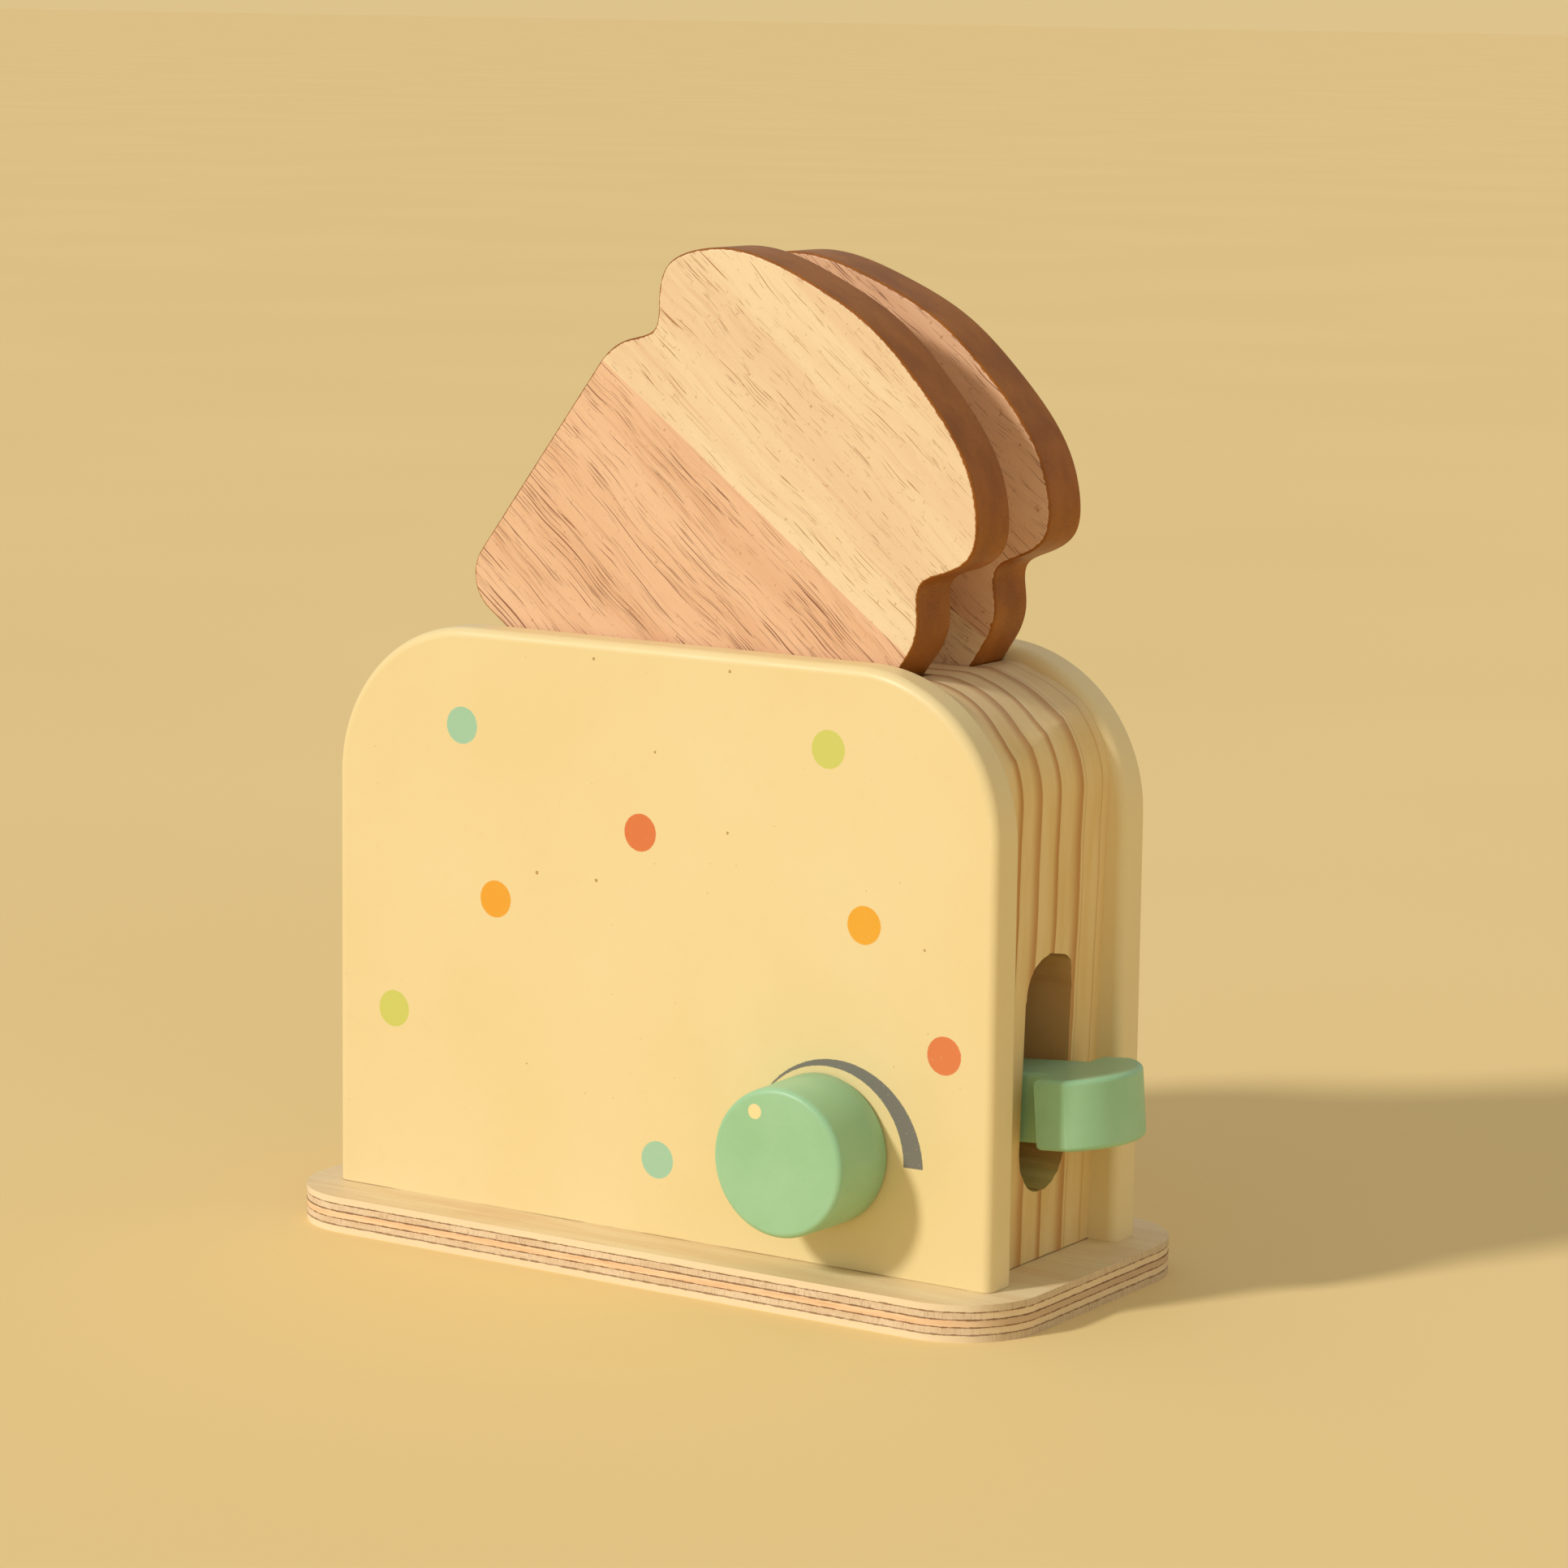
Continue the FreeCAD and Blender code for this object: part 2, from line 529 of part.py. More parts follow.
axle = rod("axle_blank", Y_AXIS, "knob_x", "-knob_back - axle_in_knob", "knob_z", "axle_round",
           "knob_back + axle_in_knob - axle_end")
axle_pilot = rod("axle_pilot", Y_AXIS, "knob_x", "-axle_end - knob_screw_length + washer_thick", "knob_z",
                 "knob_screw_round", "knob_screw_length")
node(cut("knob_axle", axle, [axle_pilot]), "knob_axle")
washer_disc = rod("washer_disc", Y_AXIS, "knob_x", "-axle_end", "knob_z", "washer_round", "washer_thick")
washer_bore = rod("washer_bore", Y_AXIS, "knob_x", "-axle_end - 1", "knob_z", "knob_screw_round",
                  "washer_thick + 2")
node(cut("knob_washer", washer_disc, [washer_bore]), "knob_washer")
node(gather("Part::MultiFuse", "knob_screw", [
    rod("knob_screw_shank", Y_AXIS, "knob_x", "-axle_end - knob_screw_length + washer_thick", "knob_z",
        "knob_screw_round", "knob_screw_length"),
    rod("knob_screw_cap", Y_AXIS, "knob_x", "-axle_end + washer_thick", "knob_z", "knob_screw_head",
        "knob_screw_tall"),
]), "knob_screw")


# Bread: mushroom-topped slices, each glued from a lower and an upper stave
def bread_foot():
    """Right half of the slice's foot and side as curves, upwards from the middle of its foot."""
    half = size("bread_half")
    foot = size("bread_foot_round")
    slant = foot * math.cos(math.pi / 4)
    return [
        Part.LineSegment(Vector(), Vector(half - foot, 0, 0)),
        Part.Arc(Vector(half - foot, 0, 0), Vector(half - foot + slant, 0, foot - slant), Vector(half, 0, foot)),
        Part.LineSegment(Vector(half, 0, foot), Vector(half, 0, size("bread_side"))),
    ]


def bread_head():
    """One curve from the top of the right side over the crown to the top of the left side."""
    side_top = Vector(size("bread_half"), 0, size("bread_side"))
    waist = Vector(size("bread_waist"), 0, size("bread_waist_level"))
    lobe = Vector(size("bread_lobe"), 0, size("bread_lobe_level"))
    shoulder = Vector(size("bread_shoulder"), 0, size("bread_shoulder_level"))
    crown = Vector(0, 0, size("bread_height"))
    bow = size("bread_bow")
    cheek = (side_top + waist) * 0.5 + Vector(bow, 0, bow)
    jowl = (waist + lobe) * 0.5 + Vector(0, 0, -bow)
    brow = (lobe + shoulder) * 0.5 + Vector(2 * bow, 0, bow)
    brim = (shoulder + crown) * 0.5 + Vector(0, 0, 2 * bow)
    right = [side_top, cheek, waist, jowl, lobe, brow, shoulder, brim]
    points = right + [crown] + [Vector(-point.x, 0, point.z) for point in reversed(right)]
    along = [0.0]
    for before, after in zip(points, points[1:]):
        along.append(along[-1] + (after - before).Length)
    curve = Part.BSplineCurve()
    curve.interpolate(points, InitialTangent=Z_AXIS, FinalTangent=-Z_AXIS, Parameters=along, Scale=False)
    return curve


def slice_solid():
    """Whole slice with eased rims, its foot's middle at the origin and its front face at Y = 0."""
    right = [curve.toShape() for curve in bread_foot()]
    left = [edge.mirror(Vector(), X_AXIS) for edge in right]
    wire = Part.Wire(Part.__sortEdges__(right + [bread_head().toShape()] + left))
    solid = Part.Face(wire).extrude(Y_AXIS * size("bread_thick"))
    rims = [edge for edge in solid.Edges if edge.BoundBox.YLength < 1e-6]
    return solid.makeFillet(size("bread_ease"), rims)


def stave(name, whole, low, high, tilt, at_x, at_y, at_z):
    """Part of a slice between two levels, tilted and set in its bay."""
    span = 3 * size("bread_half")
    band = Part.makeBox(2 * span, span, high - low, Vector(-span, -span / 2, low))
    feature = doc.addObject("Part::Feature", name)
    feature.Shape = whole.common(band)
    feature.Placement = Placement(Vector(at_x, at_y, at_z), Rotation(Y_AXIS, tilt))
    return node(feature, name)


whole_slice = slice_solid()
joint_level = size("bread_joint_level")
bay_y = {"front": -size("core_thick") / 2 + size("bread_fit"), "rear": size("web_half") + size("bread_fit")}
for side in ("front", "rear"):
    seat = [size(side + "_bread_tilt"), size(side + "_bread_x"), bay_y[side], size(side + "_bread_z")]
    stave(side + "_toast_lower_stave", whole_slice, 0, joint_level, *seat)
    stave(side + "_toast_upper_stave", whole_slice, joint_level, 2 * size("bread_height"), *seat)

# Every object must be sound before any file is written
doc.recompute()
faults = [obj.Name for obj in doc.Objects if "Invalid" in obj.State or "Error" in obj.State]
faults += [obj.Label for obj in NODES if obj.Shape.isNull() or not obj.Shape.isValid()]
if faults:
    raise RuntimeError("unsound objects: " + ", ".join(faults))
os.makedirs("parts", exist_ok=True)
for obj in NODES:
    obj.Shape.exportStep("parts/%s.step" % obj.Label)
    print(obj.Label, len(obj.Shape.Solids), [round(v, 2) for v in (
        obj.Shape.BoundBox.XMin, obj.Shape.BoundBox.XMax, obj.Shape.BoundBox.YMin, obj.Shape.BoundBox.YMax,
        obj.Shape.BoundBox.ZMin, obj.Shape.BoundBox.ZMax)])
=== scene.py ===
"""Looks of a wooden toy toaster: materials, rebuilt pieces, floor, light and camera."""
import math

import bmesh
import bpy
from mathutils import Matrix, Vector


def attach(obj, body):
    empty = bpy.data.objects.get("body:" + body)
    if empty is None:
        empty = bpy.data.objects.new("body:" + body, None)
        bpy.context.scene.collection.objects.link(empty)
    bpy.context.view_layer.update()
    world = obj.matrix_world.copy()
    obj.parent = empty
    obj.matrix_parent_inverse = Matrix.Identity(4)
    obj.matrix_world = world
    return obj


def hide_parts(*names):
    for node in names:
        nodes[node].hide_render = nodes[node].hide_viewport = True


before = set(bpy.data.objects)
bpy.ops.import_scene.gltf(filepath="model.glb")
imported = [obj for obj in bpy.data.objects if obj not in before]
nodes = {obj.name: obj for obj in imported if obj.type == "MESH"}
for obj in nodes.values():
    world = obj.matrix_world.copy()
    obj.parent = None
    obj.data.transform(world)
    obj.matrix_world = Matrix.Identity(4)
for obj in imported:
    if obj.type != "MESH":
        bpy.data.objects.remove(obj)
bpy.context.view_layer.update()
scene = bpy.context.scene
scene.view_settings.view_transform = "Standard"

MM = 0.001
SOFT = {"interpolation_type": "SMOOTHSTEP"}  # settings of every Map Range node
COLOURS = {"data_type": "RGBA"}  # settings of every Mix node
WIDE = (0.3, 0.7)  # nearly all of a pattern's values lie between these
IOR = 1.5  # of wood, lacquer and rubber; it is the default too, which the metal keeps


# ---------------------------------------------------------------- colours and nodes
def linear(code):
    """Linear RGBA of an sRGB hex colour."""
    parts = [int(code[i:i + 2], 16) / 255 for i in (0, 2, 4)]
    return tuple(p / 12.92 if p <= 0.04045 else ((p + 0.055) / 1.055) ** 2.4 for p in parts) + (1.0,)


def add(tree, kind, *values, **settings):
    """Adds one shader node and gives its outputs; a word after the kind is the node's operation.

    A value is a constant, a hex colour or the socket that feeds the input. Values go to the inputs in order,
    or one dict says which input each is for.
    """
    kind, _, operation = kind.partition(" ")
    made = tree.nodes.new("ShaderNode" + kind)
    if operation:
        made.operation = operation
    for name, value in settings.items():
        setattr(made, name, value)
    placed = values[0] if values and isinstance(values[0], dict) else dict(enumerate(values))
    for key, value in placed.items():
        if isinstance(value, bpy.types.NodeSocket):
            tree.links.new(value, made.inputs[key])
        else:
            made.inputs[key].default_value = linear(value) if isinstance(value, str) else value
    return made.outputs


def material(name):
    """Empty material, its node tree, and the object's own coordinates in millimetres."""
    made = bpy.data.materials.new(name)
    made.use_nodes = True
    tree = made.node_tree
    tree.nodes.clear()
    place = add(tree, "VectorMath SCALE", {0: add(tree, "TexCoord")["Object"], "Scale": 1 / MM})[0]
    return made, tree, place


def pattern(tree, place, size, detail=2.0, rough=0.5, shift=(0, 0, 0), distortion=0.0):
    """Soft noise around 0.5 whose features have a real size in millimetres, along each axis or one for all."""
    sizes = size if isinstance(size, tuple) else (size,) * 3
    scale = [1 / length for length in sizes]
    moved = add(tree, "Mapping", {"Vector": place, "Scale": scale, "Location": shift})[0]
    return add(tree, "TexNoise", {"Vector": moved, "Scale": 1.0, "Detail": detail, "Roughness": rough,
                                  "Distortion": distortion})[0]


def squareness(tree, axis):
    """How squarely the surface faces along one of the object's own axes, 0 to 1."""
    parts = add(tree, "SeparateXYZ", add(tree, "TexCoord")["Normal"])
    return add(tree, "Math ABSOLUTE", parts[axis])[0]


def layer(tree, colour, code, height, low, high, start=0.0, end=1.0):
    """Colour with another over it, its share going softly from start to end as a height goes from low to high."""
    amount = add(tree, "MapRange", height, low, high, start, end, **SOFT)[0]
    return add(tree, "Mix", {0: amount, 6: colour, 7: code}, **COLOURS)[2]


def stained(tree, colour, code, mask, strength):
    """Colour with another over it where a mask allows, at a strength."""
    amount = add(tree, "Math MULTIPLY", mask, strength)[0]
    return add(tree, "Mix", {0: amount, 6: colour, 7: code}, **COLOURS)[2]


def finished(tree, colour, roughness, heights, specular=0.5, metallic=0.0):
    """Surface wired to the output, its normal bumped by several heights, each with a depth in millimetres."""
    values = {}
    for height, depth in heights:
        values.update({"Height": height, "Distance": depth * MM, "Strength": 1.0})
        values["Normal"] = add(tree, "Bump", values)[0]
    surface = {"Base Color": colour, "Roughness": roughness, "Normal": values["Normal"], "IOR": IOR,
               "Specular IOR Level": specular, "Metallic": metallic}
    add(tree, "OutputMaterial", add(tree, "BsdfPrincipled", surface)[0])


# ---------------------------------------------------------------- painted surfaces
CREAM = "EFDCA9"
MINT = "A3D1A8"
INK = "7B7972"
# Centre x and z of each printed dot in millimetres, and its colour.
DOTS = [(-57.41, 128.84, "A4D0B2"), (49.35, 132.90, "D2D46F"), (-3.95, 107.64, "DF7D48"),
        (-47.00, 86.65, "EEA935"), (59.97, 92.28, "EFAE38"), (-78.35, 55.39, "D1D36C"),
        (82.46, 63.96, "E2824F"), (1.86, 27.86, "A5D1B3")]
DOT_RADIUS = 4.61
PRINT_FACE = -34.6  # everything printed lies in front of this y
KNOB_X, KNOB_Z = 49.4, 37.5
# The dial crescent lies between two circles, each with a centre x, a centre z and a radius.
ARC_OUTER = (52.79, 34.79, 24.46)
ARC_INNER = (50.37, 35.84, 21.53)
ARC_FOOT, ARC_FOOT_SLOPE = 34.4, -0.02
RIM_BLUR = 0.12
RIM_WOBBLE = 0.15
BASE_TOP = 9.0


def paint_skin(tree, place, roughness):
    """Roughness and heights of sprayed satin lacquer: fine orange peel over long soft waves, and a few nibs."""
    peel = pattern(tree, place, 1.3, 2.0, 0.6)
    wave = pattern(tree, place, 14, 1.0)
    nibs = add(tree, "MapRange", pattern(tree, place, 0.5, 1.0), 0.70, 0.78, 0.0, 1.0, **SOFT)[0]
    gloss = add(tree, "MapRange", wave, *WIDE, roughness - 0.04, roughness + 0.05, **SOFT)[0]
    return gloss, ((wave, 0.12), (peel, 0.02), (nibs, 0.015))


def specks(tree, flat, cell, radius, share, shift=0.0):
    """Sparse round specks of dirt, one in some cells of a flat grid of points."""
    moved = add(tree, "Mapping", {"Vector": flat, "Scale": [1 / cell] * 3, "Location": (shift, shift, 0)})[0]
    near = add(tree, "TexVoronoi", {"Vector": moved, "Scale": 1.0}, voronoi_dimensions="2D")
    chance, size, _ = add(tree, "SeparateXYZ", near["Color"])
    chosen = add(tree, "Math LESS_THAN", chance, share)[0]
    ragged = add(tree, "Math ADD", pattern(tree, flat, 0.35, 1.0), 0.6)[0]
    reach = add(tree, "Math MULTIPLY", size, radius / cell)[0]
    reach = add(tree, "Math MULTIPLY", reach, ragged)[0]
    inside = add(tree, "Math LESS_THAN", near["Distance"], reach)[0]
    return add(tree, "Math MULTIPLY", inside, chosen)[0]


def rim_wobble(tree, flat):
    """How far a printed rim strays from its circle, in millimetres."""
    uneven = pattern(tree, flat, 0.7, 2.0, 0.6)
    return add(tree, "Math MULTIPLY_ADD", uneven, 2 * RIM_WOBBLE, -RIM_WOBBLE)[0]


def disc(tree, flat, centre_x, centre_z, radius, wobble):
    """Filled disc with a slightly uneven printed rim."""
    away = add(tree, "VectorMath DISTANCE", flat, (centre_x, centre_z, 0))["Value"]
    away = add(tree, "Math ADD", away, wobble)[0]
    return add(tree, "MapRange", away, radius - RIM_BLUR, radius + RIM_BLUR, 1.0, 0.0, **SOFT)[0]


def cream_paint(name, printed):
    """Cream lacquer sprayed on a sanded panel, IOR 1.5, satin roughness near 0.42."""
    made, tree, place = material(name)
    x, y, z = add(tree, "SeparateXYZ", place)
    flat = add(tree, "CombineXYZ", x, z)[0]
    colour = layer(tree, CREAM, "EDD8A0", pattern(tree, place, (55, 40, 70), 3.0, 0.55), *WIDE)
    colour = layer(tree, colour, "E9D298", pattern(tree, place, 5, 3.0, 0.6), 0.55, 0.85, 0.0, 0.35)
    # Painted shade in the joint with the base: a thin dark line, here more and there less.
    gap_shade_strength = add(tree, "MapRange", pattern(tree, place, 22, 3.0, 0.6), 0.35, 0.65, 0.15, 0.8, **SOFT)[0]
    foot = add(tree, "MapRange", z, BASE_TOP + 0.1, BASE_TOP + 0.35, 1.0, 0.0, **SOFT)[0]
    colour = stained(tree, colour, "8A6638", foot, gap_shade_strength)
    if printed:
        front = add(tree, "MapRange", y, PRINT_FACE, PRINT_FACE + 0.1, 1.0, 0.0, **SOFT)[0]
        wobble = rim_wobble(tree, flat)
        pinholes = add(tree, "MapRange", pattern(tree, flat, 0.45, 1.0), 0.72, 0.76, 1.0, 0.3, **SOFT)[0]
        inked = add(tree, "Math MULTIPLY", front, pinholes)[0]
        for dot_x, dot_z, code in DOTS:
            colour = stained(tree, colour, code, disc(tree, flat, dot_x, dot_z, DOT_RADIUS, wobble), inked)
        outer = disc(tree, flat, *ARC_OUTER, wobble)
        inner = disc(tree, flat, *ARC_INNER, wobble)
        crescent = add(tree, "Math MAXIMUM", add(tree, "Math SUBTRACT", outer, inner)[0], 0.0)[0]
        level = add(tree, "Math MULTIPLY_ADD", x, ARC_FOOT_SLOPE, z)[0]
        above = add(tree, "MapRange", level, ARC_FOOT, ARC_FOOT + 0.2, 0.0, 1.0, **SOFT)[0]
        crescent = add(tree, "Math MULTIPLY", crescent, above)[0]
        colour = stained(tree, colour, INK, crescent, inked)
    upright = add(tree, "Math GREATER_THAN", squareness(tree, 1), 0.9)[0]
    for dirt, code, strength in ((specks(tree, flat, 19.0, 0.42, 0.22), "A77B3F", 0.75),
                                 (specks(tree, flat, 9.0, 0.2, 0.22, 0.37), "B98E54", 0.4)):
        colour = stained(tree, colour, code, add(tree, "Math MULTIPLY", dirt, upright)[0], strength)
    finished(tree, colour, *paint_skin(tree, place, 0.42), specular=0.4)
    return made


def mint_paint(name, dot=None):
    """Mint lacquer on turned or sanded beech, IOR 1.5, satin roughness near 0.38."""
    made, tree, place = material(name)
    x, y, z = add(tree, "SeparateXYZ", place)
    colour = layer(tree, MINT, "9ACB9E", pattern(tree, place, 18, 3.0, 0.55), *WIDE)
    colour = layer(tree, colour, "93C596", pattern(tree, place, 1.4, 3.0, 0.65), 0.5, 0.8, 0.0, 0.3)
    if dot:
        dot_x, dot_z, radius, face_y = dot
        flat = add(tree, "CombineXYZ", x, z)[0]
        front = add(tree, "MapRange", y, face_y, face_y + 0.3, 1.0, 0.0, **SOFT)[0]
        cover = disc(tree, flat, dot_x, dot_z, radius, rim_wobble(tree, flat))
        colour = stained(tree, colour, "F5E3A6", cover, front)
    slant = add(tree, "CombineXYZ", add(tree, "Math ADD", x, y)[0], z)[0]
    colour = stained(tree, colour, "7E9C68", specks(tree, slant, 11.0, 0.3, 0.1), 0.6)
    finished(tree, colour, *paint_skin(tree, place, 0.38), specular=0.45)
    return made


# ---------------------------------------------------------------- bare woods
PLY_THICK = 1.8
GLUE_DRIFT = 0.15


def glue_line(tree, place, edge):
    """Dark uneven glue lines on the board's edge, one at each joint between plies.

    They are drawn up to 0.5 mm wide, coarser than real lines of about 0.1 mm, so that they show.
    """
    x, y, z = add(tree, "SeparateXYZ", place)
    around = add(tree, "CombineXYZ", x, y)[0]
    drift = pattern(tree, around, 5.0, 3.0, 0.65)
    drift = add(tree, "Math MULTIPLY_ADD", drift, 2 * GLUE_DRIFT, -GLUE_DRIFT)[0]
    away = z
    for operation, other in (("ADD", drift), ("DIVIDE", PLY_THICK), ("ADD", 0.5), ("FRACT", 0.0),
                             ("SUBTRACT", 0.5), ("ABSOLUTE", 0.0)):
        away = add(tree, "Math " + operation, away, other)[0]
    width = pattern(tree, place, 2.2, 3.0, 0.7, (3, 1, 0))
    reach = add(tree, "MapRange", width, *WIDE, 0.04, 0.14, **SOFT)[0]
    away = add(tree, "Math DIVIDE", away, reach)[0]
    line = add(tree, "MapRange", away, 0.7, 1.3, 1.0, 0.0, **SOFT)[0]
    # No line at the board's own two faces.
    middle = add(tree, "Math SUBTRACT", z, BASE_TOP / 2)[0]
    middle = add(tree, "Math ABSOLUTE", middle)[0]
    inner = add(tree, "MapRange", middle, 4.1, 4.3, 1.0, 0.0, **SOFT)[0]
    line = add(tree, "Math MULTIPLY", line, inner)[0]
    return add(tree, "Math MULTIPLY", line, edge)[0]


def birch_face():
    """Rotary-cut birch veneer, sanded and sealed, grain along x, IOR 1.5, roughness near 0.55."""
    made, tree, place = material("birch_ply_face_veneer")
    colour = layer(tree, "F0DBB0", "E8CC9E", pattern(tree, place, (70, 9, 9), 3.0, 0.55, distortion=0.4), *WIDE)
    fine = pattern(tree, place, (22, 0.55, 0.35), 3.0, 0.6)
    colour = layer(tree, colour, "DDB782", fine, 0.52, 0.72, 0.0, 0.5)
    flecks = pattern(tree, place, (3.2, 0.22, 0.22), 1.0)
    colour = layer(tree, colour, "BF8D58", flecks, 0.68, 0.76, 0.0, 0.45)
    colour = layer(tree, colour, "E0BC8C", pattern(tree, place, (30, 24, 8)), 0.6, 0.75, 0.0, 0.3)
    edge = add(tree, "MapRange", squareness(tree, 2), 0.35, 0.8, 1.0, 0.0, **SOFT)[0]
    colour = stained(tree, colour, "F6E4C2", edge, 0.7)
    # End grain at the board's two ends.
    sideways = add(tree, "MapRange", squareness(tree, 0), 0.5, 0.95, 0.0, 0.8, **SOFT)[0]
    ticks = pattern(tree, place, (0.3, 0.3, 2.4), 2.0, 0.6)
    end_grain = layer(tree, "D8C19C", "BFA27C", ticks, 0.4, 0.7)
    colour = stained(tree, colour, end_grain, sideways, edge)
    colour = stained(tree, colour, "7C532F", glue_line(tree, place, edge), 0.8)
    gloss = add(tree, "MapRange", fine, *WIDE, 0.5, 0.62, **SOFT)[0]
    finished(tree, colour, gloss, ((fine, 0.03), (flecks, 0.02)), specular=0.35)
    return made


def birch_core(name, cross):
    """Inner birch veneer on the board's edge: end grain in the cross plies, long grain in the middle one.

    IOR 1.5, roughness near 0.68. Real vessels are under 0.1 mm wide; they are drawn at 0.3 mm so that they show.
    """
    made, tree, place = material(name)
    sideways = squareness(tree, 0)
    if cross:
        ticks = pattern(tree, place, (0.28, 0.28, 2.4), 2.0, 0.6)
        colour = layer(tree, "ECD7B8", "E0C6A4", pattern(tree, place, (9, 9, 3), 3.0, 0.6), *WIDE)
        colour = layer(tree, colour, "AD8966", ticks, 0.5, 0.75, 0.0, 0.6)
        colour = layer(tree, colour, "F2D9AC", sideways, 0.5, 0.95, 0.0, 0.75)
    else:
        ticks = pattern(tree, place, (9, 9, 0.3), 3.0, 0.6)
        colour = layer(tree, "F8D8B0", "F0C89E", pattern(tree, place, (24, 24, 1.5), 3.0, 0.6), *WIDE)
        colour = layer(tree, colour, "D09C6C", ticks, 0.5, 0.75, 0.0, 0.5)
        colour = layer(tree, colour, "CDB08A", sideways, 0.5, 0.95, 0.0, 0.8)
    colour = stained(tree, colour, "7A502C", glue_line(tree, place, 1.0), 0.8)
    gloss = add(tree, "MapRange", ticks, *WIDE, 0.6, 0.75, **SOFT)[0]
    finished(tree, colour, gloss, ((ticks, 0.06),), specular=0.25)
    return made


# Growth rings of the core seen on its end: y in millimetres, half width of the dark late wood, and strength.
RINGS = [(-23.4, 0.5, 0.5), (-17.0, 1.0, 0.95), (-8.6, 1.5, 0.85), (0.6, 1.0, 0.9),
         (10.6, 1.6, 0.85), (13.1, 0.35, 0.35), (20.6, 0.4, 0.4)]
SWAY, SMALL_SWAY = 1.8, 0.4
CROWN_FROM, CROWN_TO = 132.0, 142.0


def pine():
    """Solid pine block, growth rings standing parallel to the panels, sanded bare, IOR 1.5, roughness 0.6."""
    made, tree, place = material("pine_block")
    _, y, z = add(tree, "SeparateXYZ", place)
    depth = y
    for size, far in (((50, 400, 60), SWAY), ((9, 30, 14), SMALL_SWAY)):
        bend = add(tree, "Math MULTIPLY_ADD", pattern(tree, place, size), 2 * far, -far)[0]
        depth = add(tree, "Math ADD", depth, bend)[0]
    cloud = pattern(tree, place, (40, 7, 40), 3.0, 0.55)
    colour = layer(tree, "EED49A", "E6C684", cloud, *WIDE)
    marks = 0.0
    for at, half, strength in RINGS:
        # Early wood darkens slowly into the ring, which then ends sharply.
        away = add(tree, "Math SUBTRACT", depth, at)[0]
        late = add(tree, "MapRange", away, -half * 2.4, half * 0.6, 0.0, strength, **SOFT)[0]
        past = add(tree, "MapRange", away, half * 0.6, half, 1.0, 0.0, **SOFT)[0]
        ring = add(tree, "Math MULTIPLY", late, past)[0]
        marks = add(tree, "Math MAXIMUM", marks, ring)[0]
    colour = add(tree, "Mix", {0: marks, 6: colour, 7: "C08644"}, **COLOURS)[2]
    fibre = pattern(tree, place, (0.5, 0.35, 18), 3.0, 0.6)
    colour = layer(tree, colour, "D9B478", fibre, 0.5, 0.75, 0.0, 0.22)
    colour = layer(tree, colour, "A87A48", pattern(tree, place, (0.9, 0.4, 40), 1.0), 0.74, 0.8, 0.0, 0.25)
    # Painted sheen makes the top paler and greyer, and its rings are darker grain.
    crown = add(tree, "MapRange", z, CROWN_FROM, CROWN_TO, 0.0, 1.0, **SOFT)[0]
    colour = stained(tree, colour, "E8D3B4", crown, 0.35)
    colour = stained(tree, colour, "9E6730", marks, add(tree, "Math MULTIPLY", crown, 0.4)[0])
    # Painted shade in the joint with the base: a dark band with a ragged edge.
    level = add(tree, "Math MULTIPLY_ADD", cloud, 0.8, z)[0]
    colour = layer(tree, colour, "6B4A28", level, BASE_TOP + 0.5, BASE_TOP + 0.9, 0.75, 0.0)
    sanded = pattern(tree, place, (8, 0.8, 0.5), 2.0, 0.6)
    gloss = add(tree, "MapRange", fibre, *WIDE, 0.55, 0.7, **SOFT)[0]
    finished(tree, colour, gloss, ((marks, 0.15), (fibre, 0.03), (sanded, 0.02)), specular=0.3)
    return made


CRUST_SHADES = ("A4621C", "8E5114")
PALE = ("F1DAB2", "EACBA4", "DDB592")
PINK = ("EDC49F", "E3B58F", "CF9C78")
PALE_PORES, PINK_PORES = "AF7C52", "8A5740"
FRONT_SLICE = (36.5, -22.1, 130.3)  # tilt in degrees, then x and z of a point on the slice's middle line
REAR_SLICE = (33.5, -18.9, 126.6)
GRAIN_RISE = 0.07
GRAIN_DRIFT = 4.0


